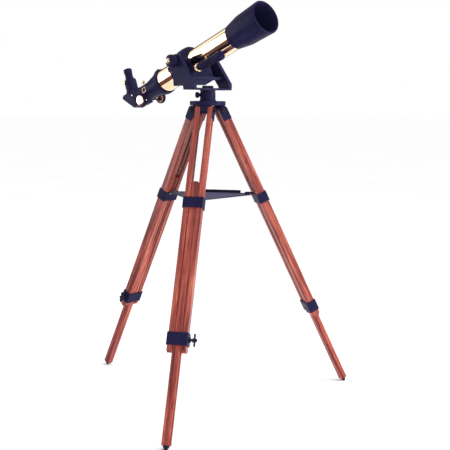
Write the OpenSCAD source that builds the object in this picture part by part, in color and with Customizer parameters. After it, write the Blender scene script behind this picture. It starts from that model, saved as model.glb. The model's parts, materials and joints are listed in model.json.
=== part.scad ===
// Brass refracting telescope on a fork mount and a three-legged wooden tripod.
// Millimetres, +Z up. The origin is on the floor under the azimuth axis, and the tube points along +X.

/* [Tripod] */
// Height of the leg hinge bolts above the floor
hinge_z = 796; // [700:1:900]
// Distance of the leg hinge bolts from the azimuth axis
hinge_r = 37; // [35:1:45]
// Distance of the foot tips from the azimuth axis
foot_r = 428; // [380:1:470]
// Turn of the tripod under the mount, degrees
tripod_turn = 4; // [0:1:30]

/* [Leg] */
// Width of each outer slat
slat_w = 14.5; // [12:0.5:18]
// Thickness of the outer slats, front to back
slat_t = 24; // [22:0.5:30]
// Length of the outer slats below the hinge
slat_len = 655; // [600:1:680]
// Width of the sliding centre slat
centre_w = 19.4; // [16:0.2:24]
// Thickness of the sliding centre slat
centre_t = 20; // [16:0.5:21]
// Distance of the centre slat's top from the hinge
centre_top = 207; // [190:1:260]
// Height of the upper guide band
guide_h = 28; // [20:1:36]
// Distance of the guide band from the hinge
guide_s = 266; // [250:1:300]
// Height of the lower clamp band
clamp_h = 32; // [24:1:40]
// Distance of the clamp band from the hinge
clamp_s = 621; // [560:1:625]

/* [Mount] */
// Height of the fork's base plate above the floor
plate_z = 850; // [845:1:870]
// Distance of the fork arms' inner faces from the middle plane
arm_y = 59; // [57:1:64]
// Thickness of the fork arms
arm_t = 12; // [8:1:16]
// Position of the altitude axis behind the azimuth axis
pivot_x = -51.2; // [-56:0.2:-46]
// Height of the altitude axis above the floor
pivot_z = 925.7; // [920:0.1:940]
// Elevation of the tube at rest, degrees
tube_elev = 21.5; // [15:0.5:30]

/* [Optics] */
// Outer radius of the brass tube
tube_r = 33; // [32:0.5:34]
// Distance of the tube's rear end behind the altitude axis
tube_back = 130; // [120:1:140]
// Distance of the tube's front end ahead of the altitude axis
tube_front = 172; // [165:1:180]
// Distance of the dew hood's mouth ahead of the altitude axis
hood_front = 284; // [270:1:300]
// Outer radius of the dew hood at its mouth
hood_r = 44.5; // [43:0.5:46]
// Radius of the focuser's drawtube
draw_r = 15; // [14.5:0.5:15.5]
// Distance of the focusing pinion behind the altitude axis
pinion_x = -218; // [-222:1:-214]
// Distance of the eyepiece axis behind the altitude axis
eyepiece_x = -284; // [-288:1:-282]

/* [Hidden] */

$fn = 64;
eps = 0.01;
// Radial clearance of running fits
fit = 0.05;

// Tripod
leg_lean = atan2(foot_r - hinge_r, hinge_z);
leg_len = norm([foot_r - hinge_r, hinge_z]);
slat_gap = centre_w + 0.8;
slat_out = slat_gap / 2 + slat_w;
band_wall = 2.6;
plate_t = 2;
bolt_r = 4;
screw_r = 3;
tongue_w = 5;
tongue_d = 2.5;
foot_len = 11;
ferrule_len = 3;
flange_r = 48.5;
flange_z0 = 808.5;
flange_z1 = 820.5;
lug_w = slat_gap - 0.3;
tray_z = 563.2;
tray_floor = 2.5;
tray_lip = 10;
tray_sill = 1;
tray_corner_r = 122;
tray_corner_w = 32;
tray_pin_x = -19.5;
tray_pin_s = 252;
tray_wall = 2;
tray_pin_r = hinge_r + tray_pin_x * cos(leg_lean) + tray_pin_s * sin(leg_lean);

// Mount
plate_h = 5;
plate_x = 42;
screw_y = 10;
plate_y = 2 * (arm_y + arm_t);
spindle_r = 10;
nut_r = 12.6;
nut_h = 9;
head_bore = 13;
pillar_r = 21;
pillar_top = 844.5;
washer_h = 1.7;
azimuth_knob_z = 836.5;
azimuth_knob_angle = 180 + tripod_turn + 60;
pivot_r = 6;
boss_r = 12;

// Optics
tube_wall = 1.5;
tube_in = tube_r - tube_wall;
hood_bore = 39.5;
lip_r = (hood_r - hood_bore) / 2;
hood_back = 165;
cell_front = 190;
focuser_back = -250;
focuser_bore = draw_r + fit;
collar_r = 36.2;
draw_in = 12.3;
gear_module = 0.7;
pinion_teeth = 10;
pinion_pitch_r = gear_module * pinion_teeth / 2;
rack_pitch = PI * gear_module;
rack_root = draw_r + 1.2;
rack_teeth = 38;
draw_front = -158;
pinion_up = -(rack_root + gear_module + pinion_pitch_r);
shaft_r = 2.6;
knob_r = 19;
knob_in = 33;
knob_out = 44;
focuser_roll = 9;
focus_lock_x = -222;
diag_back = -317;
diag_front = -258;
diag_top = 26;
diag_y = 17;
holder_top = 64;
holder_r = 18;
barrel_r = 12.2;
lock_up = 56;
eyepiece_top = 98;
crown_r = 48.2;
rocker_r = 54;
rocker_y = 40;
shoe_x = -153;
shoe_top = 41;
slow_x = 48;
slow_y = -46;
slow_up = -40;
slow_tilt = 2.6;
slow_r = 4;

// Where things are

// Turn of leg number i about the azimuth axis
function leg_angle(i) = 180 + tripod_turn + 120 * (i - 1);

// Puts children in the frame of leg i: hinge at the origin, +X outward, +Z up along the leg
module on_leg(i)
    rotate([0, 0, leg_angle(i)])
        translate([hinge_r, 0, hinge_z])
            rotate([0, -leg_lean, 0])
                children();

// Puts children in the tube's frame: altitude axis at the origin, +X along the tube, +Z up from it
module on_tube()
    translate([pivot_x, 0, pivot_z])
        rotate([0, -tube_elev, 0])
            children();

// Body of revolution about the X axis; points are [radius, position along X]
module turned_x(points, fn = 96)
    rotate([0, 90, 0])
        rotate_extrude($fn = fn)
            polygon(points);

// Body of revolution about the Y axis; points are [radius, position along Y]
module turned_y(points, fn = 64)
    rotate([-90, 0, 0])
        rotate_extrude($fn = fn)
            polygon(points);

// Cylinder of radius r along Y between y0 and y1
module rod_y(r, y0, y1, fn = 48)
    translate([0, y0, 0])
        rotate([-90, 0, 0])
            cylinder(r = r, h = y1 - y0, $fn = fn);

// Cylinder of radius r along X between x0 and x1
module rod_x(r, x0, x1, fn = 64)
    translate([x0, 0, 0])
        rotate([0, 90, 0])
            cylinder(r = r, h = x1 - x0, $fn = fn);

// Rectangle with round corners, centred
module round_rect(w, h, r, fn = 32) {
    square([w - 2 * r, h], center = true);
    square([w, h - 2 * r], center = true);
    for (x = [-1, 1], y = [-1, 1])
        translate([x * (w / 2 - r), y * (h / 2 - r)])
            circle(r = r, $fn = fn);
}

// Extrudes a shape drawn in X-Z through thickness t, centred on Y
module upright(t, y = 0)
    translate([0, y + t / 2, 0])
        rotate([90, 0, 0])
            linear_extrude(t)
                children();

// Points of an arc
function arc(cx, cy, r, a0, a1, n = 8) =
    [for (k = [0:n]) let (a = a0 + (a1 - a0) * k / n) [cx + r * cos(a), cy + r * sin(a)]];

// Tangent point on a circle (c, r) from point q; side is 1 or -1
function tangent(c, r, q, side) =
    let (d = q - c, a = atan2(d[1], d[0]) + side * acos(r / norm(d)))
    c + r * [cos(a), sin(a)];

// Tripod head

module head_lug() {
    difference() {
        union() {
            rod_y(10, -lug_w / 2, lug_w / 2);
            translate([-15, -lug_w / 2, 0])
                cube([25, lug_w, flange_z0 - hinge_z + eps]);
        }
        rod_y(bolt_r, -lug_w, lug_w);
    }
}

module tripod_head()
    color([0.10, 0.10, 0.14]) {
        translate([0, 0, flange_z0])
            rotate_extrude($fn = 96)
                polygon(concat(
                    [[head_bore, 0], [flange_r - 2, 0], [flange_r, 1.5]],
                    [[flange_r, flange_z1 - flange_z0 - 2.5]],
                    arc(flange_r - 2.5, flange_z1 - flange_z0 - 2.5, 2.5, 20, 90, 4),
                    [[head_bore, flange_z1 - flange_z0]]));
        for (i = [1:3])
            rotate([0, 0, leg_angle(i)])
                translate([hinge_r, 0, hinge_z])
                    head_lug();
    }

module azimuth_pillar()
    color([0.10, 0.10, 0.14])
        difference() {
            rotate_extrude($fn = 96)
                polygon(concat(
                    [[spindle_r + fit, flange_z0 + 2], [head_bore, flange_z0 + 2], [head_bore, flange_z1]],
                    [[pillar_r + 5, flange_z1]],
                    arc(pillar_r + 5, flange_z1 + 5, 5, 270, 180, 6),
                    arc(pillar_r - 1.5, pillar_top - 1.5, 1.5, 0, 90, 4),
                    [[spindle_r + fit, pillar_top]]));
            rotate([0, 0, azimuth_knob_angle])
                translate([0, 0, azimuth_knob_z])
                    rod_x(screw_r + fit, 0, pillar_r + 10, 32);
        }

module bearing_washer()
    color([0.10, 0.10, 0.12])
        translate([0, 0, pillar_top])
            difference() {
                cylinder(r = pillar_r - 1.5, h = washer_h);
                translate([0, 0, -1])
                    cylinder(r = spindle_r + fit, h = washer_h + 2);
            }

// One hinge bolt with its head, and its nut, in the frame of the hinge
module hinge_bolt() {
    half = slat_out + plate_t;
    rod_y(bolt_r, -half - 5, half + 0.3, 32);
    rod_y(7, half + 0.3, half + 4.8, 6);
    translate([0, -half - 0.3, 0])
        rotate([90, 0, 0])
            difference() {
                cylinder(r = 7.5, h = 5, $fn = 6);
                translate([0, 0, -1])
                    cylinder(r = bolt_r, h = 7, $fn = 32);
            }
}

module hinge_bolts()
    color([0.12, 0.12, 0.15])
        for (i = [1:3])
            rotate([0, 0, leg_angle(i)])
                translate([hinge_r, 0, hinge_z])
                    hinge_bolt();

module azimuth_clamp_knob()
    color([0.08, 0.08, 0.10])
        rotate([0, 0, azimuth_knob_angle])
            translate([0, 0, azimuth_knob_z]) {
                rod_x(screw_r, spindle_r + 0.4, 24, 32);
                turned_x(concat(
                    [[0, pillar_r + 1.5], [4.5, pillar_r + 1.5], [4.5, pillar_r + 4], [7.2, pillar_r + 4.6]],
                    arc(6, pillar_r + 10.5, 2, 0, 90, 5),
                    [[0, pillar_r + 13]]), 48);
            }

// Legs

// Side outline of a slat in X-Z: round eye at the hinge and a round lower end
module slat_outline(t, low) {
    translate([-t / 2, low + t / 2])
        square([t, -low - t / 2]);
    circle(r = t / 2);
    translate([0, low + t / 2])
        circle(r = t / 2);
}

// Cross-section of the outer slat on the +Y side, with the guide groove on its inner face
module slat_section()
    difference() {
        translate([0, slat_gap / 2 + slat_w / 2])
            round_rect(slat_t, slat_w, 2.5);
        translate([-tongue_w / 2 - 0.4, slat_gap / 2 - 1])
            square([tongue_w + 0.8, tongue_d + 1.4]);
    }

module slat()
    difference() {
        intersection() {
            upright(4 * slat_out)
                slat_outline(slat_t, -slat_len);
            translate([0, 0, -slat_len - 10])
                linear_extrude(slat_len + 40)
                    slat_section();
        }
        rod_y(bolt_r + fit, 0, slat_out + 5);
        translate([0, 0, -clamp_s])
            rod_y(screw_r + 0.6, 0, slat_out + 5, 32);
    }

module slats(i)
    color([0.62, 0.29, 0.17])
        on_leg(i) {
            slat();
            mirror([0, 1, 0])
                slat();
        }

module top_plate(low)
    difference() {
        upright(plate_t, slat_out + plate_t / 2) {
            circle(r = slat_t / 2);
            translate([-slat_t / 2, low])
                square([slat_t, -low]);
        }
        rod_y(bolt_r + fit, 0, slat_out + 5);
    }

module top_plates(i)
    color([0.10, 0.10, 0.14])
        on_leg(i) {
            top_plate(-28);
            mirror([0, 1, 0])
                top_plate(-28);
        }

// A band around both slats, centred at the origin
module band(h, wall)
    linear_extrude(h, center = true)
        difference() {
            round_rect(slat_t + 0.2 + 2 * wall, 2 * slat_out + 0.2 + 2 * wall, 3);
            square([slat_t + 0.2, 2 * slat_out + 0.2], center = true);
        }

// Level shelf above a corner of the tray, on the inside of the guide band
module tray_shelf(i)
    difference() {
        rotate([0, 0, leg_angle(i)])
            translate([112, -9, tray_z + tray_floor + 0.6])
                cube([36, 18, 4]);
        on_leg(i)
            translate([-slat_t / 2 - 0.1 - band_wall, -20, -leg_len])
                cube([60, 40, 2 * leg_len]);
    }

// Two ears for the tray's hinge pin, on the inside of the guide band
module tray_ears()
    difference() {
        for (y = [-14, 10])
            translate([tray_pin_x, y, -tray_pin_s]) {
                rod_y(4.5, 0, 4);
                translate([0, 0, -4.5])
                    cube([-tray_pin_x - slat_t / 2 - 0.1 - band_wall, 4, 9]);
            }
        translate([tray_pin_x, 0, -tray_pin_s])
            rod_y(2 + fit, -20, 20, 32);
    }

module guide_band(i)
    color([0.10, 0.10, 0.14]) {
        on_leg(i) {
            translate([0, 0, -guide_s])
                band(guide_h, band_wall);
            if (i == 1)
                tray_ears();
        }
        if (i > 1)
            tray_shelf(i);
    }

module clamp_band(i)
    color([0.10, 0.10, 0.14])
        on_leg(i)
            translate([0, 0, -clamp_s])
                difference() {
                    union() {
                        band(clamp_h, band_wall);
                        rod_y(7, slat_out + 0.5, slat_out + band_wall + 4);
                    }
                    rod_y(screw_r + fit, slat_out - 3, slat_out + 20, 32);
                    cube([slat_t + 0.2, 2 * slat_out + 0.2, clamp_h - 2], center = true);
                }

// Section of the centre slat: rounded edges, two guide tongues, a shallow groove front and back
module centre_section()
    difference() {
        union() {
            round_rect(centre_t, centre_w, 2);
            square([tongue_w, centre_w + 2 * tongue_d - 0.2], center = true);
        }
        for (x = [-1, 1])
            translate([x * (centre_t / 2 + 2.2), 0])
                circle(r = 3.4, $fn = 32);
    }

module centre_slat(i)
    color([0.66, 0.33, 0.19])
        on_leg(i)
            intersection() {
                translate([0, 0, -leg_len + foot_len])
                    linear_extrude(leg_len - foot_len - centre_top)
                        centre_section();
                rotate([0, 0, 90])
                    upright(60) {
                        translate([-30, -leg_len])
                            square([60, leg_len - centre_top - 14]);
                        translate([0, -centre_top - 14])
                            circle(r = 14);
                    }
            }

module foot(i)
    color([0.12, 0.12, 0.14])
        intersection() {
            on_leg(i)
                translate([0, 0, -leg_len])
                    rotate_extrude($fn = 48)
                        polygon(concat(
                            [[0, -4]], [[3.2, -4], [3.6, 0], [6.2, foot_len - ferrule_len - 2]],
                            [[8.6, foot_len - ferrule_len]],
                            [[8.6, foot_len], [0, foot_len]]));
            translate([0, 0, 500])
                cube([1200, 1200, 1000], center = true);
        }

module wing(y)
    upright(3.4, y)
        polygon(concat([[3, -3.2]], arc(11.5, 0, 4.8, -75, 75, 8), [[3, 3.2]]));

module wing_screw(i)
    color([0.12, 0.12, 0.14])
        on_leg(i)
            translate([0, 0, -clamp_s]) {
                rod_y(screw_r, centre_w / 2 + tongue_d + 0.4, slat_out + 20, 32);
                translate([0, slat_out, 0])
                    turned_y([[0, 11], [5.5, 11], [4.6, 21], [3.4, 22.5], [0, 22.5]], 32);
                for (a = [0, 180])
                    rotate([0, a + 98, 0])
                        wing(slat_out + 16.5);
            }

// Tray

// Outline of the tray grown outward by g
module tray_outline(g)
    polygon([for (i = [1:3], s = [-1, 1])
        let (a = leg_angle(i), w = s * (tray_corner_w / 2 + g * 0.5))
        [tray_corner_r * cos(a) - w * sin(a), tray_corner_r * sin(a) + w * cos(a)]]);

module tray_knuckle()
    on_leg(1)
        translate([tray_pin_x, 0, -tray_pin_s])
            rod_y(4.2, -9.6, 9.6);

module tray()
    color([0.13, 0.13, 0.17])
        difference() {
            union() {
                difference() {
                    translate([0, 0, tray_z])
                        linear_extrude(tray_lip)
                            tray_outline(8);
                    translate([0, 0, tray_z + tray_floor])
                        linear_extrude(tray_lip)
                            tray_outline(8 - 2 * tray_wall);
                    for (i = [1:3])
                        rotate([0, 0, leg_angle(i)])
                            translate([tray_corner_r - 16, -40, tray_z + tray_floor])
                                cube([60, 80, 30]);
                    rotate([0, 0, leg_angle(2) + 60])
                        translate([60, -90, tray_z + tray_floor + tray_sill])
                            cube([60, 180, 30]);
                }
                rotate([0, 0, leg_angle(1)])
                    translate([tray_corner_r - 12, -9.6, tray_z])
                        cube([tray_pin_r - tray_corner_r + 12, 19.2, tray_floor]);
                tray_knuckle();
            }
            on_leg(1)
                translate([tray_pin_x, 0, -tray_pin_s])
                    rod_y(2, -20, 20, 32);
        }

module tray_pin()
    color([0.70, 0.70, 0.72])
        on_leg(1)
            translate([tray_pin_x, 0, -tray_pin_s]) {
                rod_y(2, -14.5, 14.5, 32);
                rod_y(3.4, 14.5, 16, 32);
            }

// Fork mount

module azimuth_spindle()
    color([0.60, 0.60, 0.62]) {
        cylinder_z(spindle_r, flange_z0 - nut_h - 1, pillar_top + washer_h);
        cylinder_z(pillar_r, pillar_top + washer_h, plate_z);
        translate([0, 0, flange_z0 + 1.8 - nut_h])
            difference() {
                cylinder(r = nut_r, h = nut_h, $fn = 6);
                translate([0, 0, -1])
                    cylinder(r = spindle_r, h = nut_h + 2);
            }
    }

module cylinder_z(r, z0, z1)
    translate([0, 0, z0])
        cylinder(r = r, h = z1 - z0);

module fork_plate()
    color([0.12, 0.12, 0.16])
        difference() {
            translate([0, 0, plate_z])
                linear_extrude(plate_h)
                    round_rect(plate_x, plate_y, 2);
            for (y = [-screw_y, screw_y])
                translate([0, y, plate_z - 1])
                    cylinder(r = screw_r, h = plate_h + 2, $fn = 32);
            for (x = [-12, 12], y = [-1, 1])
                translate([x, y * (arm_y + arm_t / 2), plate_z - 1])
                    cylinder(r = 2.5, h = plate_h + 2, $fn = 32);
        }

// Outline of a fork arm in X-Z, leaning back from its foot to the altitude axis
module arm_outline() {
    c = [pivot_x, pivot_z];
    r = 19;
    foot_z = plate_z + plate_h;
    front = [plate_x / 2, foot_z + 12];
    rear = [-plate_x / 2, foot_z + 5];
    polygon([[-plate_x / 2, foot_z], [plate_x / 2, foot_z], front,
        tangent(c, r, front, 1), c, tangent(c, r, rear, -1), rear]);
    translate(c)
        circle(r = r);
}

// Rear lobe of the near arm, with a relief arch beside the foot
module lobe_outline()
    difference() {
        translate([-62, plate_z + 10])
            polygon([[3, 0], [41.5, 0], [41.5, 23], [26, 53], [-6, 55], [0, 20]]);
        translate([-38, plate_z + 1])
            circle(r = 13);
    }

module fork_arm(y, lobe)
    difference() {
        upright(arm_t, y) {
            arm_outline();
            if (lobe)
                lobe_outline();
        }
        translate([pivot_x, 0, pivot_z])
            rod_y(pivot_r + fit, y - arm_t, y + arm_t);
        for (x = [-12, 12])
            translate([x, y, plate_z])
                cylinder(r = 2.5, h = 16, $fn = 32);
    }

module fork_arms()
    color([0.10, 0.10, 0.14]) {
        fork_arm(-arm_y - arm_t / 2, true);
        fork_arm(arm_y + arm_t / 2, false);
    }

module fork_bridge()
    color([0.14, 0.14, 0.18]) {
        translate([-11, -arm_y, plate_z + 27])
            cube([7, 2 * arm_y, 9]);
        translate([-9, 0, plate_z])
            rotate([90, 0, 90])
                linear_extrude(3)
                    polygon([[-arm_y, 27.5], [28, 27.5], [-3, 13], [-arm_y, 12]]);
    }

module fork_screws()
    color([0.08, 0.08, 0.10]) {
        for (x = [-12, 12], y = [-1, 1])
            translate([x, y * (arm_y + arm_t / 2), 0])
                cylinder_z(2.5, plate_z, plate_z + 15);
        for (y = [-screw_y, screw_y])
            translate([0, y, plate_z])
                difference() {
                    union() {
                        cylinder_z(screw_r, 0, plate_h);
                        translate([0, 0, plate_h])
                            rotate_extrude($fn = 48)
                                polygon(concat([[0, 0], [8, 0]], arc(6.5, 5, 1.5, 0, 90, 4), [[0, 6.5]]));
                    }
                    cylinder_z(2.6, plate_h + 3, plate_h + 10);
                }
    }

module altitude_knob()
    color([0.09, 0.09, 0.13])
        translate([pivot_x, -arm_y - arm_t, pivot_z])
            difference() {
                turned_y(concat(
                    [[0, -25], [9, -25]], arc(10, -18, 7, 270, 360, 6), arc(11, -10, 6, 0, 90, 6),
                    [[9, -4], [9, -1], [0, -1]]));
                rod_y(pivot_r + fit, -40, 10);
            }

// Cradle

// Crowned outer profile of the strap as [radius, along]
function strap_profile() = concat(
    [[tube_r + 0.1, -69], [39.5, -69]],
    arc(crown_r - 100, -20, 100, -23, 9, 12),
    [[45, -1], [38, 0], [tube_r + 0.1, 0]]);

// Keel under the tube, round about the altitude axis so that it clears the cross-bridge
module rocker()
    difference() {
        intersection() {
            rod_y(rocker_r, -rocker_y, rocker_y, 96);
            translate([-58, -rocker_y, -rocker_r])
                cube([72, 2 * rocker_y, rocker_r - 20]);
        }
        rod_x(tube_r + 0.1, -100, 100, 96);
    }

module saddle()
    color([0.10, 0.10, 0.14])
        on_tube()
            difference() {
                union() {
                    intersection() {
                        turned_x([[tube_r + 0.1, -69], [37, -69], [38, -67], [38, 12], [36.5, 14],
                                  [tube_r + 0.1, 14]]);
                        translate([-100, -60, -100])
                            cube([200, 120, 100]);
                    }
                    difference() {
                        union() {
                            rod_y(boss_r, -arm_y + 0.6, arm_y - 0.6);
                            translate([-60, -50, -7])
                                cube([42, 100, 7]);
                        }
                        rod_x(tube_r + 0.1, -100, 100, 96);
                    }
                    rocker();
                }
                rod_y(pivot_r, -arm_y, arm_y);
                for (x = [-52, -26], y = [-45, 45])
                    translate([x, y, -10])
                        cylinder(r = 2.5, h = 12, $fn = 32);
            }

module pivot_pins()
    color([0.60, 0.60, 0.62])
        translate([pivot_x, 0, pivot_z]) {
            rod_y(pivot_r, -arm_y - arm_t - 26, -tube_r - 1.2);
            translate([0, -arm_y - arm_t - 25.5, 0])
                turned_y(concat([[0, 0], [7.5, 0], [7.5, -2], [5.4, -3]],
                    arc(3.9, -7, 1.5, 0, -90, 4), [[0, -8.5]]));
            rod_y(pivot_r, tube_r + 1.2, arm_y + arm_t + 1);
            turned_y(concat([[0, arm_y + arm_t + 1], [10, arm_y + arm_t + 1]],
                arc(7, arm_y + arm_t + 4, 3, 0, 90, 5), [[0, arm_y + arm_t + 7]]));
        }

module tube_strap()
    color([0.10, 0.10, 0.14])
        on_tube()
            difference() {
                union() {
                    intersection() {
                        turned_x(strap_profile());
                        translate([-100, -60, 0.3])
                            cube([200, 120, 100]);
                    }
                    difference() {
                        translate([-60, -50, 0.3])
                            cube([42, 100, 6]);
                        rod_x(tube_r + 0.1, -100, 100, 96);
                    }
                }
                for (y = [-1, 1])
                    rod_y(boss_r + 0.6, y > 0 ? 25 : -60, y > 0 ? 60 : -25);
                for (x = [-52, -26], y = [-45, 45])
                    translate([x, y, 0]) {
                        cylinder_z(2.5, -10, 20);
                        cylinder_z(5, 6.3, 32);
                    }
            }

module tube_screws()
    color([0.62, 0.45, 0.25])
        on_tube() {
            for (x = [-52, -26], y = [-45, 45])
                translate([x, y, 0]) {
                    cylinder_z(2.5, -9, 6.3);
                    translate([0, 0, 6.3])
                        cylinder(r = 4.4, h = 4, $fn = 6);
                }
            translate([shoe_x, 0, shoe_top]) {
                cylinder_z(2, -5, 0);
                rotate_extrude($fn = 32)
                    polygon(concat([[0, 0], [4.2, 0]], arc(2.7, 1.5, 1.5, 0, 90, 4), [[0, 3]]));
            }
        }

// Puts children in the frame of the slow-motion screw, its +X along the screw
module on_slow()
    on_tube()
        translate([slow_x, slow_y, slow_up])
            rotate([0, slow_tilt, 0])
                children();

module slow_motion_housing()
    color([0.10, 0.10, 0.14])
        difference() {
            union() {
                on_slow()
                    rod_x(6, -20, -4);
                on_tube()
                    difference() {
                        translate([14, 0, 0])
                            rotate([90, 0, 90])
                                linear_extrude(28)
                                    polygon([[-20, -29], [-30, -19], [-50, -35], [-43, -45]]);
                        rod_x(tube_r + 0.1, -100, 100, 96);
                    }
            }
            on_slow()
                rod_x(slow_r + fit, -17, 10, 32);
        }

module slow_motion_ferrule()
    color([0.85, 0.66, 0.35])
        on_slow()
            difference() {
                turned_x([[0, -2], [9, -2], [11.6, 1], [11.6, 7], [10.6, 8], [0, 8]], 64);
                rod_x(slow_r, -10, 20, 32);
            }

module slow_motion_grip()
    color([0.08, 0.08, 0.10])
        on_slow() {
            rod_x(slow_r, -16.6, 9, 32);
            turned_x(concat([[0, 8], [8.4, 8], [9, 12]], [[12.6, 94]],
                arc(9.6, 96, 3, 0, 90, 5), [[0, 99]]), 64);
        }

// Optical tube

module main_tube()
    color([0.88, 0.68, 0.36])
        on_tube()
            turned_x([[tube_in, -tube_back], [tube_r, -tube_back], [tube_r, tube_front],
                      [tube_in, tube_front]], 128);

module dew_hood()
    color([0.09, 0.09, 0.13])
        on_tube()
            turned_x(concat(
                [[tube_r + 0.05, hood_back], [34.2, hood_back]],
                arc(33.4, hood_back + 1.2, 1.2, -30, 30, 3),
                [[40.6, 200]],
                arc(38, 207, 3.7, -35, 5, 3),
                arc(hood_r - lip_r, hood_front - lip_r, lip_r, 0, 180, 8),
                [[hood_bore, 210], [tube_r + 0.05, cell_front + 1]]), 128);

module lens_cell()
    color([0.10, 0.10, 0.12])
        on_tube()
            turned_x([[27, 150], [tube_in, 150], [tube_in, tube_front], [tube_r, tube_front],
                      [tube_r, cell_front], [30, cell_front], [30, 174], [27, 174]]);

// Lens of radius r between vertices x0 and x1; s0 and s1 are the sags of its faces at the rim
module lens(r, x0, x1, s0, s1)
    turned_x(concat(
        [for (k = [0:8]) let (q = r * k / 8) [q, x0 + s0 * (q / r) * (q / r)]],
        [for (k = [8:-1:0]) let (q = r * k / 8) [q, x1 + s1 * (q / r) * (q / r)]]));

module objective_lens()
    color([0.75, 0.85, 0.95, 0.5])
        on_tube() {
            lens(29.9, 174.8, 178.6, -0.6, 2.0);
            lens(29.9, 179, 186, 2.0, -2.2);
        }

module retaining_ring()
    color([0.10, 0.10, 0.12])
        on_tube()
            turned_x([[27.5, 186.3], [29.95, 186.3], [29.95, 189], [27.5, 189]]);

module baffles()
    color([0.08, 0.08, 0.09])
        on_tube()
            for (b = [[90, 25], [-40, 20]])
                turned_x([[b[1], b[0]], [tube_in, b[0]], [tube_in, b[0] + 2], [b[1], b[0] + 2]], 64);

// Focuser

// Puts children in the frame of the focuser, which is turned a little about the tube's axis
module on_focuser()
    on_tube()
        rotate([focuser_roll, 0, 0])
            children();

module focuser_body()
    color([0.10, 0.10, 0.14])
        on_focuser()
            difference() {
                union() {
                    turned_x([
                        [focuser_bore, focuser_back], [25.5, focuser_back], [26.5, focuser_back + 1],
                        [26.5, focuser_back + 6], [25, focuser_back + 7], [25, -198],
                        [33.4, -149], [collar_r, -146], [collar_r, -132], [collar_r - 1, -tube_back],
                        [tube_in, -tube_back], [tube_in, -116], [28.5, -116], [28.5, -150],
                        [22.5, -190], [focuser_bore, -196]]);
                    difference() {
                        union() {
                            translate([-245, -8, -30])
                                cube([23, 16, 20]);
                            translate([pinion_x, 0, pinion_up])
                                rod_y(6.2, -15, 15);
                        }
                        rod_x(18.5, -260, -200);
                    }
                }
                translate([focuser_back - 1, -3.3, -18.6])
                    cube([80, 6.6, 10]);
                translate([pinion_x, 0, pinion_up]) {
                    rod_y(pinion_pitch_r + gear_module + 0.8, -4.2, 4.2);
                    rod_y(shaft_r + fit, -20, 20, 32);
                }
                translate([focus_lock_x, 0, 0])
                    cylinder_z(2 + fit, 0, 40);
            }

module finder_shoe()
    color([0.10, 0.10, 0.14])
        on_tube()
            difference() {
                upright(12)
                    polygon([[-176, 24], [-146.5, 24], [-146.5, shoe_top - 2], [-148, shoe_top],
                             [shoe_x - 5, shoe_top], [-176, 31.5]]);
                turned_x([[0, -250], [25, -250], [25, -198], [33.4, -149], [collar_r, -146],
                          [collar_r, -100], [0, -100]]);
                translate([shoe_x, 0, shoe_top])
                    cylinder_z(2, -5, 5);
            }

module nameplate()
    color([0.80, 0.60, 0.45])
        on_tube()
            intersection() {
                turned_x([[25, -230], [25.7, -230], [25.7, -198], [25, -198]], 64);
                rotate([86, 0, 0])
                    translate([-205.5, 0, 25])
                        cube([15, 16, 30], center = true);
            }

module focus_lock_screw()
    color([0.85, 0.66, 0.35])
        on_focuser()
            translate([focus_lock_x, 0, 0]) {
                cylinder_z(2, focuser_bore + 0.4, 32);
                translate([0, 0, 29])
                    rotate_extrude($fn = 32)
                        polygon([[0, 0], [2.8, 0], [4.6, 2], [4.6, 7], [3.8, 8], [0, 8]]);
            }

module drawtube()
    color([0.14, 0.14, 0.16])
        on_tube()
            turned_x([[draw_in, focuser_back - 6], [draw_r, focuser_back - 6], [draw_r, draw_front],
                      [draw_in, draw_front]]);

// Rack under the drawtube, its teeth pointing down
module focus_rack()
    color([0.80, 0.62, 0.35])
        on_focuser()
            difference() {
                upright(6)
                    polygon(concat(
                        [[focuser_back + 2, -draw_in], [focuser_back + 2, -rack_root]],
                        [for (k = [-13:rack_teeth - 14], p = [0.32, 0.42, 0.58, 0.68])
                            [pinion_x + rack_pitch * (k + p),
                             -rack_root - (p > 0.4 && p < 0.6 ? 1.5 * gear_module : 0)]],
                        [[draw_front - 4, -rack_root], [draw_front - 4, -draw_in]]));
                rod_x(draw_r, -300, -100, 96);
            }

module pinion_shaft()
    color([0.85, 0.66, 0.35])
        on_focuser()
            translate([pinion_x, 0, pinion_up]) {
                rod_y(shaft_r, -knob_in, knob_in, 32);
                upright(7)
                    union() {
                        circle(r = pinion_pitch_r - gear_module - 0.2, $fn = 32);
                        for (k = [0:pinion_teeth - 1])
                            rotate(90 + 360 * k / pinion_teeth)
                                polygon([[1.6, -0.6], [pinion_pitch_r + gear_module - 0.25, -0.25],
                                         [pinion_pitch_r + gear_module - 0.25, 0.25], [1.6, 0.6]]);
                    }
            }

// A focusing knob on the +Y side
module focus_knob()
    turned_y(concat(
        [[0, knob_in], [8, knob_in], [8, knob_in + 1.5], [knob_r - 1, knob_in + 1.5]],
        [[knob_r, knob_in + 2.5], [knob_r, knob_out - 1.5], [knob_r - 1.5, knob_out]],
        [[knob_r - 2.5, knob_out - 1], [0, knob_out - 1]]));

module focus_knobs()
    color([0.10, 0.10, 0.12])
        on_focuser()
            translate([pinion_x, 0, pinion_up]) {
                focus_knob();
                mirror([0, 1, 0])
                    focus_knob();
            }

// Star diagonal and eyepiece

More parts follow.
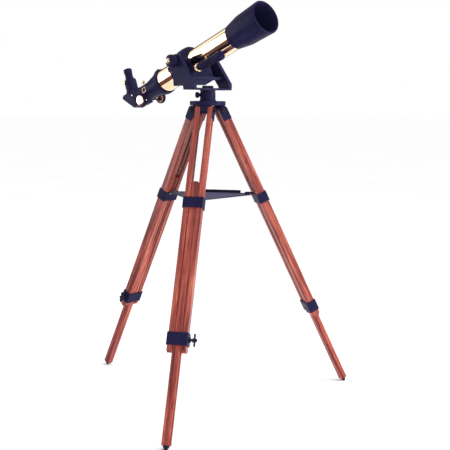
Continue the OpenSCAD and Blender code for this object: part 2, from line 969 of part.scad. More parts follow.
module diagonal_body()
    color([0.09, 0.09, 0.12])
        on_tube()
            difference() {
                union() {
                    upright(2 * diag_y)
                        polygon([[diag_front, -25], [diag_front, diag_top - 3], [diag_front - 3, diag_top],
                                 [diag_back + 6, diag_top], [diag_back, diag_top - 5], [diag_back, 17],
                                 [-277, -25]]);
                    rod_x(barrel_r, diag_front - 1, -234);
                    translate([eyepiece_x, 0, 0])
                        rotate_extrude()
                            polygon([[0, diag_top - 1], [holder_r + 1.5, diag_top - 1], [holder_r + 1.5, 30],
                                     [holder_r, 32], [holder_r, holder_top - 1], [holder_r - 1, holder_top],
                                     [0, holder_top]]);
                }
                rod_x(barrel_r - 1.8, -270, -230);
                upright(26)
                    polygon([[-262, -16], [-262, 22], [-309, 22], [-309, 19.5], [-274, -16]]);
                translate([eyepiece_x, 0, 0]) {
                    cylinder_z(barrel_r + fit, diag_top, holder_top + 1);
                    cylinder_z(barrel_r - 2, 10, holder_top);
                    translate([0, 0, lock_up])
                        rotate([0, 0, -90])
                            rod_x(2 + fit, 0, 30, 32);
                }
            }

module diagonal_mirror()
    color([0.85, 0.88, 0.90])
        on_tube()
            upright(24)
                polygon([[-306, 17.5], [-275, -14], [-272.9, -11.9], [-303.9, 19.6]]);

module eyepiece()
    color([0.08, 0.08, 0.10])
        on_tube()
            translate([eyepiece_x, 0, 0])
                rotate_extrude()
                    polygon([[9.5, 34], [barrel_r, 34], [barrel_r, holder_top + 0.4], [13, holder_top + 0.4],
                             [13, 70], [11.4, 72], [11.4, 84], [12.4, 87], [12.6, eyepiece_top - 1.5],
                             [11.4, eyepiece_top], [9.8, eyepiece_top], [6.5, 93], [6.5, 89], [9.5, 87]]);

module eyepiece_lens()
    color([0.75, 0.85, 0.95, 0.5])
        on_tube()
            translate([eyepiece_x, 0, 0]) {
                cylinder_z(9.5, 79, 85);
                cylinder_z(9.5, 44, 48);
            }

module eyepiece_lock_screw()
    color([0.85, 0.66, 0.35])
        on_tube()
            translate([eyepiece_x, 0, lock_up])
                rotate([0, 0, -90]) {
                    rod_x(2, barrel_r + 0.5, 23, 32);
                    turned_x([[0, 21], [3.4, 21], [3.4, 26], [7.2, 26.6], [7.2, 32.6], [6.2, 33.6],
                              [0, 33.6]], 48);
                }

for (i = [1:3]) {
    slats(i);
    top_plates(i);
    guide_band(i);
    clamp_band(i);
    centre_slat(i);
    foot(i);
    wing_screw(i);
}
tripod_head();
azimuth_pillar();
bearing_washer();
hinge_bolts();
azimuth_clamp_knob();
tray();
tray_pin();
azimuth_spindle();
fork_plate();
fork_arms();
fork_bridge();
fork_screws();
altitude_knob();
saddle();
pivot_pins();
tube_strap();
tube_screws();
slow_motion_housing();
slow_motion_ferrule();
slow_motion_grip();
main_tube();
dew_hood();
lens_cell();
objective_lens();
retaining_ring();
baffles();
focuser_body();
finder_shoe();
nameplate();
focus_lock_screw();
drawtube();
focus_rack();
pinion_shaft();
focus_knobs();
diagonal_body();
diagonal_mirror();
eyepiece();
eyepiece_lens();
eyepiece_lock_screw();
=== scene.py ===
import json
import math

import bmesh
import bpy
from mathutils import Matrix, Vector


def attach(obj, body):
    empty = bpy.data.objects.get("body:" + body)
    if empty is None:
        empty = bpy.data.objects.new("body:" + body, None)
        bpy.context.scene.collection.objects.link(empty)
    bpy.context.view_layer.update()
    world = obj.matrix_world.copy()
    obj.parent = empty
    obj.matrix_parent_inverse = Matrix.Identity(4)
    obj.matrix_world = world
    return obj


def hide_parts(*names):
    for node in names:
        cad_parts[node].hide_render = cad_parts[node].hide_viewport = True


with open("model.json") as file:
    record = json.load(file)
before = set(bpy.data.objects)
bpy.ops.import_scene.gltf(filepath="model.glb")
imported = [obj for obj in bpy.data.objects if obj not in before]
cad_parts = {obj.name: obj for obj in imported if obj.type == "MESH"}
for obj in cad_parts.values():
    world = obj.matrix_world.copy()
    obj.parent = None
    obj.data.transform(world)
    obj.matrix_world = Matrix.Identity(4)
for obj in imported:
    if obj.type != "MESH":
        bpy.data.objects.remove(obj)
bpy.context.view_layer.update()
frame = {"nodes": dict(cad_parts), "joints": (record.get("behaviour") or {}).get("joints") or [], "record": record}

MM = 0.001
JOINTS = {j["name"]: j for j in frame["joints"]}
NODE_SLOT = {s["node"]: s["material_slot"] for s in frame["record"]["subparts"]}
NODE_BODY = {n: b for b, nodes in frame["record"]["behaviour"]["bodies"].items() for n in nodes}
LEGS = (1, 2, 3)


# ---------------------------------------------------------------- frames

def frame_of(origin, x, y, z):
    """Matrix from local millimetres, along the given axes, to the row frame in metres."""
    m = Matrix((x, y, z)).transposed().to_4x4()
    m.translation = origin
    return m @ Matrix.Scale(MM, 4)


def joint_point(name):
    return Vector(JOINTS[name]["pos_m"])


def joint_axis(name):
    return Vector(JOINTS[name]["axis"]).normalized()


ALONG = -joint_axis("focus_slide")
SIDE = Vector((0, 1, 0))
TUBE = frame_of(joint_point("altitude"), ALONG, SIDE, ALONG.cross(SIDE))


def leg_frame(i):
    """Hinge at the origin, +X outward, +Y along the hinge bolt, +Z up the leg."""
    up = -joint_axis(f"leg_{i}_extend")
    bolt = joint_axis(f"leg_{i}_fold")
    return frame_of(joint_point(f"leg_{i}_fold"), bolt.cross(up), bolt, up)


LEG = {i: leg_frame(i) for i in LEGS}


def place(base, point, axis, roll=(0, 0, 1)):
    """A frame inside another: its X along axis, at a point given in the base frame's millimetres."""
    x = Vector(axis).normalized()
    z = Vector(roll)
    z = (z - x * z.dot(x))
    if z.length < 1e-6:
        z = Vector((0, 1, 0)) - x * x.y
    z.normalize()
    m = Matrix((x, z.cross(x), z)).transposed().to_4x4()
    m.translation = Vector(point)
    return base @ m


def local_box(node, base):
    """Lowest and highest corner of a CAD node in a local frame, in millimetres."""
    inv = base.inverted()
    pts = [inv @ v.co for v in frame["nodes"][node].data.vertices]
    return (Vector([min(p[k] for p in pts) for k in range(3)]),
            Vector([max(p[k] for p in pts) for k in range(3)]))


# ---------------------------------------------------------------- node materials

class Nodes:
    """A small helper for building node trees."""

    def __init__(self, tree):
        self.tree = tree
        tree.nodes.clear()

    def add(self, kind, **inputs):
        node = self.tree.nodes.new(kind)
        for key, value in inputs.items():
            if hasattr(node, key):
                setattr(node, key, value)
        return node

    def link(self, a, b):
        self.tree.links.new(a, b)


def new_material(name):
    m = bpy.data.materials.new(name)
    m.use_nodes = True
    return m, Nodes(m.node_tree)


def shader(n, rough, metallic=0.0, coat=0.0, coat_rough=0.1, ior=1.5, shine=0.5):
    out = n.add("ShaderNodeOutputMaterial")
    p = n.add("ShaderNodeBsdfPrincipled")
    p.inputs["Roughness"].default_value = rough
    p.inputs["Metallic"].default_value = metallic
    p.inputs["Coat Weight"].default_value = coat
    p.inputs["Coat Roughness"].default_value = coat_rough
    p.inputs["IOR"].default_value = ior
    p.inputs["Specular IOR Level"].default_value = shine
    n.link(p.outputs[0], out.inputs[0])
    return p


def coords(n, base=None, scale=(1, 1, 1)):
    """Object coordinates, turned into a local frame and stretched."""
    tex = n.add("ShaderNodeTexCoord")
    last = tex.outputs["Object"]
    if base is not None:
        turn = n.add("ShaderNodeMapping", vector_type="TEXTURE")
        turn.inputs["Location"].default_value = base.translation
        turn.inputs["Rotation"].default_value = base.to_euler()
        n.link(last, turn.inputs["Vector"])
        last = turn.outputs[0]
    stretch = n.add("ShaderNodeMapping", vector_type="POINT")
    stretch.inputs["Scale"].default_value = scale
    n.link(last, stretch.inputs["Vector"])
    return stretch.outputs[0]


def noise(n, vector, scale, detail=3.0, rough=0.55, distortion=0.0):
    t = n.add("ShaderNodeTexNoise")
    t.inputs["Scale"].default_value = scale
    t.inputs["Detail"].default_value = detail
    t.inputs["Roughness"].default_value = rough
    t.inputs["Distortion"].default_value = distortion
    n.link(vector, t.inputs["Vector"])
    return t.outputs["Fac"]


def ramp(n, fac, stops):
    r = n.add("ShaderNodeValToRGB")
    while len(r.color_ramp.elements) < len(stops):
        r.color_ramp.elements.new(0.5)
    for e, (pos, col) in zip(r.color_ramp.elements, stops):
        e.position = pos
        e.color = (*col, 1) if len(col) == 3 else col
    n.link(fac, r.inputs["Fac"])
    return r.outputs["Color"]


def grey(v):
    return (v, v, v)


def to_range(n, fac, low, high, a=0.3, b=0.7):
    m = n.add("ShaderNodeMapRange")
    m.inputs["From Min"].default_value = a
    m.inputs["From Max"].default_value = b
    m.inputs["To Min"].default_value = low
    m.inputs["To Max"].default_value = high
    n.link(fac, m.inputs["Value"])
    return m.outputs[0]


def mix(n, fac, a, b, kind="MIX"):
    m = n.add("ShaderNodeMix", data_type="RGBA", blend_type=kind)
    for value, socket in ((fac, m.inputs[0]), (a, m.inputs[6]), (b, m.inputs[7])):
        if hasattr(value, "is_linked"):
            n.link(value, socket)
        elif isinstance(value, tuple):
            socket.default_value = (*value, 1)
        else:
            socket.default_value = value
    return m.outputs[2]


def bump(n, p, height, strength, distance):
    b = n.add("ShaderNodeBump")
    b.inputs["Strength"].default_value = strength
    b.inputs["Distance"].default_value = distance
    n.link(height, b.inputs["Height"])
    n.link(b.outputs[0], p.inputs["Normal"])


def painted(name, colour, warm, rough, grain, grain_height, coat=0.01, coat_rough=0.08, shine=0.03):
    """Paint or moulded plastic: a slow drift of colour, a fine surface grain and uneven gloss."""
    m, n = new_material(name)
    p = shader(n, rough, coat=coat, coat_rough=coat_rough, shine=shine)
    at = coords(n)
    drift = noise(n, at, 22, 4)
    fine = noise(n, at, grain, 3)
    n.link(mix(n, to_range(n, drift, 0.0, 1.0), colour, warm), p.inputs["Base Color"])
    n.link(to_range(n, noise(n, at, 60, 5, 0.6), rough * 0.75, rough * 1.3), p.inputs["Roughness"])
    bump(n, p, fine, 0.25, grain_height)
    return m


def brass(name, base, lines=(1.0, 1.0, 1.0)):
    """Polished, lacquered brass with faint turning lines, smudges and warmer spots."""
    m, n = new_material(name)
    p = shader(n, 0.1, metallic=1.0, coat=0.3, coat_rough=0.04)
    at = coords(n, base)
    smudge = noise(n, at, 45, 5, 0.6)
    warm = ramp(n, noise(n, at, 14, 4), [(0.30, (0.82, 0.58, 0.36)), (0.52, (0.90, 0.72, 0.47)),
                                         (0.75, (0.94, 0.80, 0.58))])
    n.link(warm, p.inputs["Base Color"])
    n.link(to_range(n, smudge, 0.06, 0.15), p.inputs["Roughness"])
    bump(n, p, noise(n, coords(n, base, lines), 900, 2), 0.04, 0.0001)
    return m


def metal(name, colour, dark, rough):
    """Turned or plated steel with fine scratches."""
    m, n = new_material(name)
    p = shader(n, rough, metallic=1.0)
    at = coords(n)
    n.link(mix(n, to_range(n, noise(n, at, 70, 4), 0, 1), colour, dark), p.inputs["Base Color"])
    n.link(to_range(n, noise(n, at, 140, 4), rough * 0.7, rough * 1.4), p.inputs["Roughness"])
    bump(n, p, noise(n, coords(n, None, (1, 1, 8)), 700, 2), 0.08, 0.0001)
    return m


def wood(name, base, light):
    """Varnished mahogany: long rings, streaks and pores that run along the leg."""
    m, n = new_material(name)
    p = shader(n, 0.40, coat=0.10, coat_rough=0.16, shine=0.22)
    slow = coords(n, base, (1, 1, 0.045))
    fine = coords(n, base, (1, 1, 0.02))
    rings = n.add("ShaderNodeTexWave", wave_type="BANDS", bands_direction="X", wave_profile="SAW")
    rings.inputs["Scale"].default_value = 46
    rings.inputs["Distortion"].default_value = 9.0
    rings.inputs["Detail"].default_value = 3.0
    rings.inputs["Detail Scale"].default_value = 1.4
    n.link(slow, rings.inputs["Vector"])
    k = 1.12 if light else 1.0
    base_colour = ramp(n, noise(n, slow, 130, 5, 0.6), [
        (0.32, (0.085 * k, 0.016 * k, 0.020 * k)), (0.45, (0.260 * k, 0.052 * k, 0.042 * k)),
        (0.56, (0.420 * k, 0.100 * k, 0.072 * k)), (0.68, (0.660 * k, 0.215 * k, 0.140 * k))])
    ringed = mix(n, 0.55, base_colour, ramp(n, rings.outputs["Fac"], [
        (0.0, (0.72, 0.36, 0.26)), (0.7, (0.38, 0.12, 0.08)), (1.0, (0.14, 0.035, 0.03))]), "MULTIPLY")
    lifted = mix(n, 0.30, ringed, base_colour)
    pores = to_range(n, noise(n, fine, 1500, 2, 0.5), 1.0, 0.0, 0.56, 0.66)
    n.link(mix(n, pores, (0.055, 0.010, 0.012), lifted), p.inputs["Base Color"])
    n.link(to_range(n, noise(n, fine, 500, 3), 0.26, 0.46), p.inputs["Roughness"])
    bump(n, p, noise(n, fine, 1100, 3), 0.22, 0.0002)
    return m


def sheen_topped_paint(name, paint, painted_sheen):
    """Dark paint whose upward faces carry an even, painted lavender sheen: a painted reflection that replaces the
    paint colour on faces looking up.
    """
    m, n = new_material(name)
    p = shader(n, 0.42, shine=0.25)
    facing = n.add("ShaderNodeSeparateXYZ")
    n.link(n.add("ShaderNodeTexCoord").outputs["Normal"], facing.inputs[0])
    # painted sheen mask: faces whose normal points up (Z 0.85 to 0.98 and above) take the painted reflection
    # colour
    sheen_mask = to_range(n, facing.outputs["Z"], 0, 1, 0.85, 0.98)
    # the painted sheen is mottled by noise between its colour and 0.82 of it
    mottled_sheen = mix(n, to_range(n, noise(n, coords(n), 240, 4), 0, 1, 0.35, 0.65), painted_sheen,
                 tuple(0.82 * c for c in painted_sheen))
    n.link(mix(n, sheen_mask, paint, mottled_sheen), p.inputs["Base Color"])
    n.link(to_range(n, noise(n, coords(n), 500, 3), 0.36, 0.50), p.inputs["Roughness"])
    return m


def glass(name):
    m, n = new_material(name)
    p = shader(n, 0.02, coat=0.6, coat_rough=0.02, ior=1.52)
    p.inputs["Transmission Weight"].default_value = 1.0
    painted_sheen = noise(n, coords(n), 260, 4)
    n.link(mix(n, to_range(n, painted_sheen, 0, 1, 0.5, 0.8), (0.80, 0.93, 0.90), (0.72, 0.80, 0.88)),
           p.inputs["Base Color"])
    n.link(to_range(n, painted_sheen, 0.01, 0.06), p.inputs["Roughness"])
    return m


MATERIAL = {
    "black_gloss": painted("black_gloss", (0.010, 0.009, 0.036), (0.017, 0.015, 0.046), 0.30, 420, 0.0002),
    "black_plastic": painted("black_plastic", (0.009, 0.008, 0.030), (0.015, 0.012, 0.040), 0.26, 600,
                             0.0001, 0.02, 0.05),
    "black_inner": painted("black_inner", (0.004, 0.004, 0.006), (0.008, 0.007, 0.010), 0.80, 900, 0.0003, 0),
    "brass": brass("brass", TUBE, (1.0, 0.02, 0.02)),
    "copper_screw": metal("copper_screw", (0.75, 0.46, 0.30), (0.58, 0.32, 0.20), 0.26),
    "steel": metal("steel", (0.62, 0.62, 0.64), (0.45, 0.45, 0.48), 0.28),
    "dark_steel": painted("dark_steel", (0.012, 0.011, 0.024), (0.022, 0.018, 0.032), 0.34, 500, 0.0002),
    # the tray's upward faces carry a painted lavender sheen (0.105, 0.090, 0.185), a painted reflection over the
    # dark paint
    "tray_paint": sheen_topped_paint("tray_paint", (0.012, 0.011, 0.030), (0.105, 0.090, 0.185)),
    "optical_glass": glass("optical_glass"),
    "mirror": metal("mirror", (0.92, 0.93, 0.94), (0.88, 0.90, 0.92), 0.04),
}
for i in LEGS:
    MATERIAL[f"mahogany_{i}"] = wood(f"mahogany_{i}", LEG[i].normalized(), False)
    MATERIAL[f"mahogany_light_{i}"] = wood(f"mahogany_light_{i}", LEG[i].normalized(), True)


def material_for(slot, node=""):
    if slot.startswith("mahogany"):
        return MATERIAL[f"{slot}_{node.split('_')[1]}"]
    if node == "tray":
        return MATERIAL["tray_paint"]
    return MATERIAL[slot]


# ---------------------------------------------------------------- meshes

def finish_mesh(mesh, angle=38):
    mesh.shade_smooth()
    mesh.set_sharp_from_angle(angle=math.radians(angle))


def add_piece(name, bm, body, slot, material=None, replaces=(), angle=38):
    """Makes a piece of a finished bmesh in the row frame, with its material (chosen by slot when none is given)
    and body.
    """
    bmesh.ops.recalc_face_normals(bm, faces=bm.faces)
    mesh = bpy.data.meshes.new(name)
    bm.to_mesh(mesh)
    bm.free()
    finish_mesh(mesh, angle)
    ob = bpy.data.objects.new(name, mesh)
    bpy.context.scene.collection.objects.link(ob)
    mesh.materials.append(material or material_for(slot))
    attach(ob, body)
    if replaces:
        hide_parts(*replaces)
    return ob


def rounded(points, radius, steps=3):
    """Rounds the inner corners of an open outline."""
    out = [Vector(points[0])]
    for a, p, b in zip(points, points[1:], points[2:]):
        a, p, b = Vector(a), Vector(p), Vector(b)
        u, w = a - p, b - p
        t = min(radius, 0.45 * u.length, 0.45 * w.length)
        if u.angle(w) > math.radians(172):
            out.append(p)
            continue
        s, e = p + u.normalized() * t, p + w.normalized() * t
        for k in range(steps + 1):
            f = k / steps
            out.append(s * (1 - f) ** 2 + p * 2 * f * (1 - f) + e * f * f)
    out.append(Vector(points[-1]))
    return out


def turned(bm, base, profile, segments=64, ridge=None, arc=1.0):
    """Adds a body of revolution about local X. profile is [(radius, position)], and ridge, if given,
    is (count, depth, start, end): shallow flutes between two positions."""
    rings = []
    if ridge:
        segments = ridge[0] * 6
    for r, x in profile:
        if r < 1e-4:
            rings.append([bm.verts.new(base @ Vector((x, 0, 0)))])
            continue
        ring = []
        for k in range(segments):
            a = 2 * math.pi * k / segments
            q = r
            if ridge and ridge[2] <= x <= ridge[3]:
                q -= ridge[1] * (0.5 - 0.5 * math.cos(ridge[0] * a)) ** 2
            ring.append(bm.verts.new(base @ Vector((x, q * math.cos(a), q * math.sin(a)))))
        rings.append(ring)
    pairs = list(zip(rings, rings[1:]))
    if len(rings[0]) > 1 and len(rings[-1]) > 1:
        pairs.append((rings[-1], rings[0]))
    for a, b in pairs:
        for k in range(segments):
            j = (k + 1) % segments
            if len(a) == 1 and len(b) > 1:
                bm.faces.new((a[0], b[j], b[k]))
            elif len(b) == 1 and len(a) > 1:
                bm.faces.new((a[k], a[j], b[0]))
            elif len(a) > 1:
                bm.faces.new((a[k], a[j], b[j], b[k]))
    return bm


def turned_piece(name, base, profile, body, slot, replaces=(), corner=0.4, segments=64, ridge=None):
    bm = bmesh.new()
    turned(bm, base, rounded(profile, corner), segments, ridge)
    return add_piece(name, bm, body, slot, replaces=replaces)


def refined(node, width=0.4, segments=2, slot=None):
    """A copy of a CAD node with merged flats and real rounded edges; width is in millimetres."""
    source = frame["nodes"][node]
    slot = slot or NODE_SLOT[node]
    bm = bmesh.new()
    bm.from_mesh(source.data)
    bmesh.ops.remove_doubles(bm, verts=bm.verts, dist=2e-6)
    bmesh.ops.dissolve_limit(bm, angle_limit=math.radians(0.6), verts=bm.verts, edges=bm.edges)
    ob = add_piece(f"{node}_body", bm, NODE_BODY[node], slot, material_for(slot, node), (node,), 30)
    edge = ob.modifiers.new("edges", "BEVEL")
    edge.width = width * MM
    edge.segments = segments
    edge.limit_method = "ANGLE"
    edge.angle_limit = math.radians(32)
    edge.use_clamp_overlap = True
    edge.harden_normals = True
    return ob


REFINED = {
    "tripod_head": 0.8, "azimuth_pillar": 0.8, "bearing_washer": 0.2, "hinge_bolts": 0.5,
    "fork_plate": 0.6, "fork_arms": 1.2, "fork_bridge": 0.8, "azimuth_spindle": 0.3, "fork_screws": 0.3,
    "saddle": 0.8, "pivot_pins": 0.3, "tube_strap": 0.8, "tube_screws": 0.3, "slow_motion_housing": 0.5,
    "lens_cell": 0.2, "retaining_ring": 0.2, "baffles": 0.1, "objective_lens": 0.1,
    "focuser_body": 0.4, "finder_shoe": 0.5, "nameplate": 0.1, "drawtube": 0.2, "focus_rack": 0.1,
    "pinion_shaft": 0.1, "diagonal_body": 0.7, "diagonal_mirror": 0.1, "eyepiece_lens": 0.1,
    "tray": 0.4, "tray_pin": 0.2, "main_tube": 0.2, "dew_hood": 0.4,
}
for node, width in REFINED.items():
    refined(node, width)
for i in LEGS:
    for part, width in (("slats", 0.5), ("top_plates", 0.4), ("guide_band", 0.5), ("clamp_band", 0.5),
                        ("centre_slat", 0.5), ("foot", 0.4), ("wing_screw", 0.5)):
        refined(f"leg_{i}_{part}", width)


# ---------------------------------------------------------------- turned details

ROW = Matrix.Scale(MM, 4)


def knob(name, base, profile, ridge, body, slot, node=None):
    """A knurled or fluted turned piece; it takes the place of the CAD node, if one is named."""
    turned_piece(name, base, profile, body, slot, (node,) if node else (), 0.5, ridge=ridge)


def focuser_frame():
    """At the focusing pinion, +X along the shaft towards the near side."""
    pinion = joint_axis("pinion_turn")
    m = Matrix((pinion, ALONG.cross(pinion), -ALONG)).transposed().to_4x4()
    m.translation = joint_point("pinion_turn")
    return m @ Matrix.Scale(MM, 4)


PINION = focuser_frame()
for side, name in ((1, "near"), (-1, "far")):
    knob_base = PINION @ Matrix.Rotation(0 if side == 1 else math.pi, 4, "Z")
    bm = bmesh.new()
    outline = [(0, 33), (8, 33), (8, 34.5), (17.2, 34.5), (19, 36), (19, 42.4), (17.6, 44), (15.6, 44),
               (15, 43), (0, 43)]
    turned(bm, knob_base, rounded(outline, 0.5), ridge=(44, 0.9, 36, 42.4))
    add_piece(f"focus_knob_{name}_grip", bm, "pinion", "black_plastic", replaces=("focus_knobs",))
    turned_piece(f"focus_knob_{name}_face", knob_base,
                 [(0, 43.05), (14.4, 43.05), (13.4, 43.2), (11.8, 43.45), (9, 43.7), (6, 43.86), (3, 43.96),
                  (0, 43.99)], "pinion", "brass", corner=0.05)
    turned_piece(f"focus_knob_{name}_back", knob_base,
                 [(8.1, 33.3), (14.5, 33.3), (15.5, 34.4), (8.1, 34.4)], "pinion", "copper_screw", corner=0.2)

ALTITUDE = place(TUBE, (0, -71, 0), (0, -1, 0))
knob("altitude_knob_grip", ALTITUDE,
     [(6.1, 1), (9, 1), (9, 4), (12.5, 4.6), (16, 6.5), (17, 9.5), (17, 18.5), (15.9, 22), (13, 24.3),
      (10, 25), (6.1, 25)], (22, 1.1, 8, 20), "altitude_clamp", "black_plastic", "altitude_knob")

SLOW = frame_of(joint_point("slow_motion_turn"), joint_axis("slow_motion_turn"), SIDE,
                joint_axis("slow_motion_turn").cross(SIDE))
knob("slow_motion_grip_body", SLOW,
     [(0, -16.6), (3.95, -16.6), (3.95, 8), (8.4, 8), (9, 11), (9.9, 13), (9.6, 16), (10.2, 20), (11.2, 55),
      (12.3, 84), (12.6, 88), (11.9, 91), (12.6, 94), (12.2, 97), (9.6, 99), (0, 99)],
     (18, 1.3, 19, 85), "slow_motion", "black_plastic", "slow_motion_grip")
knob("slow_motion_ferrule_body", SLOW,
     [(4.02, -2), (9, -2), (10.2, -0.6), (10.2, 0.6), (11.6, 1.6), (11.6, 6.6), (10.6, 8), (4.02, 8)],
     (40, 0.5, 1.6, 6.6), "slow_motion", "brass", "slow_motion_ferrule")

EYEPIECE_X = (TUBE.inverted() @ joint_point("eyepiece_lock_turn")).x
EYEPIECE = place(TUBE, (EYEPIECE_X, 0, 0), (0, 0, 1), (1, 0, 0))
knob("eyepiece_tube", EYEPIECE,
     [(9.5, 34), (12.15, 34), (12.15, 64.4), (13, 64.4), (13, 69.6), (12.2, 71), (11.4, 72), (11.4, 84),
      (12, 85.4), (12.4, 87), (12.1, 88.5), (12.5, 90), (12.2, 91.5), (12.6, 93), (12.6, 96.6), (11.6, 98),
      (9.9, 98), (6.5, 93), (6.5, 89), (9.5, 87)],
     (32, 0.6, 65, 69.6), "eyepiece", "black_plastic", "eyepiece")
EYEPIECE_LOCK = frame_of(joint_point("eyepiece_lock_turn") - joint_axis("eyepiece_lock_turn") * 20 * MM,
                         -SIDE, ALONG, (-SIDE).cross(ALONG))
knob("eyepiece_lock_head", EYEPIECE_LOCK,
     [(0, 12.7), (2, 12.7), (2, 21), (3.4, 21), (3.4, 26), (6.7, 26.5), (7.2, 27.2), (7.2, 32.2), (6.2, 33.6),
      (0, 33.6)], (26, 0.7, 27, 32.3), "eyepiece_lock", "brass", "eyepiece_lock_screw")
lock_axis = joint_axis("focus_lock_turn")
FOCUS_LOCK = frame_of(joint_point("focus_lock_turn") - lock_axis * 30 * MM, lock_axis, -ALONG,
                      lock_axis.cross(-ALONG))
knob("focus_lock_head", FOCUS_LOCK,
     [(0, 15.45), (2, 15.45), (2, 29), (2.8, 29), (4.2, 30.6), (4.6, 31.4), (4.6, 35.6), (3.8, 37), (0, 37)],
     (16, 0.5, 31.2, 35.8), "focus_lock", "brass", "focus_lock_screw")
AZIMUTH_LOCK = place(ROW, (0, 0, 836.5), joint_axis("azimuth_clamp_turn"))
knob("azimuth_clamp_head", AZIMUTH_LOCK,
     [(0, 10.4), (3, 10.4), (3, 22.5), (4.5, 22.5), (4.5, 25), (7.2, 25.6), (8, 27.2), (8, 31.6), (6.4, 34),
      (0, 34)],
     (14, 0.8, 27, 32), "azimuth_clamp", "black_plastic", "azimuth_clamp_knob")


def screw_head(name, base, radius, height, body, slot):
    """Domed head with a slot cut across it, its flat back at the base's origin and +X outward."""
    bm = bmesh.new()
    cut, depth, steps = radius * 0.16, height * 0.55, 10
    crown = radius * 0.7
    start = math.asin(cut / radius)
    for half in (1, -1):
        rim = [(start + (math.pi - 2 * start) * k / steps) * half for k in range(steps + 1)]
        low, mid = ([bm.verts.new(base @ Vector((x, radius * math.cos(a), radius * math.sin(a))))
                     for a in rim] for x in (0, height * 0.55))
        top = [bm.verts.new(base @ Vector((height, crown * math.cos(a),
                                           max(abs(crown * math.sin(a)), cut) * half))) for a in rim]
        for k in range(steps):
            bm.faces.new((low[k], low[k + 1], mid[k + 1], mid[k]))
            bm.faces.new((mid[k], mid[k + 1], top[k + 1], top[k]))
        bm.faces.new(top)
        bm.faces.new((low[0], mid[0], top[0], top[-1], mid[-1], low[-1]))
        bm.faces.new(low)
    turned(bm, base, [(0, 0), (radius * 0.97, 0), (radius * 0.97, height - depth), (0, height - depth)], 24)
    add_piece(name, bm, body, slot)


BAND_LEVELS = {"guide": -266, "clamp": -621}
BAND_FACE = 14.7
BAND_SCREW_OUT = 17
for i in LEGS:
    for k, side in enumerate((-1, 1)):
        for band, level in BAND_LEVELS.items():
            spot = place(LEG[i], (BAND_FACE, side * BAND_SCREW_OUT, level), (1, 0, 0), (0, side * 0.4, 1))
            screw_head(f"leg_{i}_{band}_screw_{k}", spot, 2.4, 1.2, f"leg_{i}", "dark_steel")
for side, name in ((-1, "near"), (1, "far")):
    spot = place(TUBE, (-272.5, 17 * side, 11.3), (0, side, 0), (0.5, 0, 1))
    screw_head(f"diagonal_screw_{name}", spot, 2.3, 0.9, "diagonal", "steel")


def curved_strip(name, ends, arc, radii, body, slot):
    """A thin strip bent round the tube's axis; ends are along the tube, arc is in degrees from the top."""
    bm = bmesh.new()
    steps = max(2, int(abs(arc[1] - arc[0]) / 2))
    inner, outer = radii
    section = ((ends[0], inner), (ends[1], inner), (ends[1], outer), (ends[0], outer))
    rows = []
    for k in range(steps + 1):
        a = math.radians(arc[0] + (arc[1] - arc[0]) * k / steps)
        rows.append([bm.verts.new(TUBE @ Vector((x, -r * math.sin(a), r * math.cos(a)))) for x, r in section])
    for a, b in zip(rows, rows[1:]):
        for k in range(4):
            bm.faces.new((a[k], a[(k + 1) % 4], b[(k + 1) % 4], b[k]))
    bm.faces.new(rows[0])
    bm.faces.new(rows[-1])
    add_piece(name, bm, body, slot)


PLATE = local_box("nameplate", TUBE)
PLATE_FACE = (25.6, 25.9)
RIVET_SEAT = 25.66
plate_back, plate_front = PLATE[0].x, PLATE[1].x
for name, ends, arc in (("back", (plate_back + 0.4, plate_back + 1.2), (69, 103)),
                        ("front", (plate_front - 1.2, plate_front - 0.4), (69, 103)),
                        ("upper", (plate_back + 1.2, plate_front - 1.2), (69, 71)),
                        ("lower", (plate_back + 1.2, plate_front - 1.2), (101, 103))):
    curved_strip(f"nameplate_border_{name}", ends, arc, PLATE_FACE, "telescope", "copper_screw")
for k, (along, angle) in enumerate(((a, t) for a in (plate_back + 3, plate_front - 3) for t in (74, 98))):
    angle = math.radians(angle)
    out = (0, -math.sin(angle), math.cos(angle))
    spot = place(TUBE, (along, RIVET_SEAT * out[1], RIVET_SEAT * out[2]), out, (1, 0, 0))
    screw_head(f"nameplate_rivet_{k}", spot, 1.0, 0.5, "telescope", "copper_screw")


# ---------------------------------------------------------------- studio

def floor():
    bm = bmesh.new()
    bmesh.ops.create_circle(bm, cap_ends=True, segments=96, radius=60)
    mesh = bpy.data.meshes.new("floor")
    bm.to_mesh(mesh)
    bm.free()
    ob = bpy.data.objects.new("floor", mesh)
    bpy.context.scene.collection.objects.link(ob)
    m, n = new_material("floor")
    p = shader(n, 0.9, shine=0.0)
    at = coords(n)
    n.link(mix(n, to_range(n, noise(n, at, 1.4, 3), 0, 1), (0.90, 0.90, 0.91), (0.92, 0.92, 0.92)),
           p.inputs["Base Color"])
    mesh.materials.append(m)


def softbox(name, place_at, aim, size, power, colour=(1, 1, 1), diffuse=True, glossy=True):
    data = bpy.data.lights.new(name, "AREA")
    data.shape = "RECTANGLE"
    data.size, data.size_y = size
    data.energy = power
    data.color = colour
    ob = bpy.data.objects.new(name, data)
    bpy.context.scene.collection.objects.link(ob)
    ob.location = place_at
    ob.rotation_euler = (Vector(aim) - Vector(place_at)).to_track_quat("-Z", "Y").to_euler()
    ob.visible_camera = False
    ob.visible_diffuse = diffuse
    ob.visible_glossy = glossy


def overhead(power):
    """A very wide, soft sun that evens out the floor."""
    data = bpy.data.lights.new("overhead", "SUN")
    data.energy = power
    data.angle = math.radians(60)
    ob = bpy.data.objects.new("overhead", data)
    bpy.context.scene.collection.objects.link(ob)
    ob.visible_glossy = False


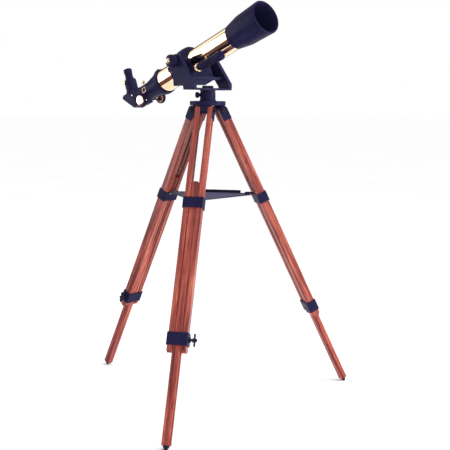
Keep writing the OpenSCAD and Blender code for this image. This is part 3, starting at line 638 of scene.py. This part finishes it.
def flag(name, corners, colour):
    """A dark card, seen only in what polished parts reflect."""
    mesh = bpy.data.meshes.new(name)
    mesh.from_pydata(corners, [], [range(len(corners))])
    ob = bpy.data.objects.new(name, mesh)
    bpy.context.scene.collection.objects.link(ob)
    m, n = new_material(name)
    p = shader(n, 0.9, shine=0.0)
    edge = tuple(0.8 * c for c in colour)
    n.link(mix(n, noise(n, coords(n), 3.0), colour, edge), p.inputs["Base Color"])
    mesh.materials.append(m)
    ob.visible_camera = False
    ob.visible_diffuse = False
    ob.visible_shadow = False
    ob.visible_transmission = False


# Level direction from which the soft light is strongest
BRIGHT_SIDE = (0.682, 0.731, 0.0)


def studio_world():
    """White behind the object, soft light mostly from one side, and a darker room in reflections."""
    world = bpy.data.worlds.new("studio")
    bpy.context.scene.world = world
    world.use_nodes = True
    n = Nodes(world.node_tree)
    out = n.add("ShaderNodeOutputWorld")
    even, room = n.add("ShaderNodeBackground"), n.add("ShaderNodeBackground")
    even.inputs["Color"].default_value = (1, 1, 1, 1)
    even.inputs["Strength"].default_value = 1.0
    tex = n.add("ShaderNodeTexCoord")
    split = n.add("ShaderNodeSeparateXYZ")
    n.link(tex.outputs["Generated"], split.inputs[0])
    n.link(ramp(n, to_range(n, split.outputs["Z"], 0, 1, -1, 1), [
        (0.45, grey(0.18)), (0.54, grey(0.16)), (0.64, grey(0.30)), (0.8, grey(0.7))]),
        room.inputs["Color"])
    path = n.add("ShaderNodeLightPath")
    across = n.add("ShaderNodeVectorMath", operation="DOT_PRODUCT")
    n.link(tex.outputs["Generated"], across.inputs[0])
    across.inputs[1].default_value = BRIGHT_SIDE
    side = n.add("ShaderNodeBackground")
    n.link(ramp(n, to_range(n, across.outputs["Value"], 0, 1, -1, 1), [
        (0.0, (0.06, 0.03, 0.10)), (1.0, (0.97, 1.0, 0.93))]), side.inputs["Color"])
    side.inputs["Strength"].default_value = 1.94
    lit, choose = n.add("ShaderNodeMixShader"), n.add("ShaderNodeMixShader")
    n.link(path.outputs["Is Diffuse Ray"], lit.inputs[0])
    n.link(even.outputs[0], lit.inputs[1])
    n.link(side.outputs[0], lit.inputs[2])
    n.link(path.outputs["Is Glossy Ray"], choose.inputs[0])
    n.link(lit.outputs[0], choose.inputs[1])
    n.link(room.outputs[0], choose.inputs[2])
    n.link(choose.outputs[0], out.inputs[0])


def camera():
    """Camera by its place about the azimuth axis, its pan, pitch and roll."""
    turn, distance, height = math.radians(47), 2.4155, 0.8072
    pan, pitch, roll = math.radians(1.16), math.radians(-7.67), math.radians(0.37)
    data = bpy.data.cameras.new("camera")
    data.lens = 70.64
    data.sensor_width = 36
    data.clip_end = 200
    ob = bpy.data.objects.new("camera", data)
    bpy.context.scene.collection.objects.link(ob)
    right = Vector((math.cos(turn), math.sin(turn), 0))
    ahead = Vector((-math.sin(turn), math.cos(turn), 0))
    ob.location = -ahead * distance + Vector((0, 0, height))
    level = ahead * math.cos(pan) + right * math.sin(pan)
    side = right * math.cos(pan) - ahead * math.sin(pan)
    forward = level * math.cos(pitch) + Vector((0, 0, math.sin(pitch)))
    up = side.cross(forward)
    x = side * math.cos(roll) + up * math.sin(roll)
    y = up * math.cos(roll) - side * math.sin(roll)
    ob.rotation_euler = Matrix((x, y, -forward)).transposed().to_euler()
    bpy.context.scene.camera = ob


floor()
studio_world()
camera()
softbox("right_light", (2.4, 1.6, 1.5), (0, 0, 0.6), (1.2, 1.8), 45)
softbox("side_fill", (2.5, -0.6, 0.9), (0, 0, 0.45), (1.4, 1.8), 14, glossy=False)
softbox("rim_fill", (2.2, 2.0, 0.8), (0, 0, 0.45), (1.2, 1.6), 30, glossy=False)
softbox("left_light", (-1.5, -2.0, 1.2), (0, 0, 0.8), (1.4, 2.2), 8)
softbox("left_glow", (-1.50, -1.05, 1.06), (0, 0, 0.93), (1.3, 1.40), 15, diffuse=False)
softbox("warm_glow", (-1.62, -0.10, 1.72), (0, 0, 0.93), (0.55, 0.7), 1.3, (1, 0.78, 0.66), diffuse=False)
softbox("top_light", (0.3, -0.4, 3.2), (0, 0, 0.8), (2.2, 2.2), 12)
overhead(0.25)
flag("low_card", [(-2.4, -2.0, 0.05), (0.3, -2.3, 0.05), (0.5, -1.0, 0.05), (-1.2, -0.42, 0.05)],
     (0.13, 0.065, 0.075))
flag("far_card", [(-2.9, 0.95, 0.0), (-1.2, 3.3, 0.0), (-1.2, 3.3, 2.1), (-2.9, 0.95, 2.1)],
     (0.07, 0.05, 0.09))
bpy.context.scene.view_settings.view_transform = "Standard"
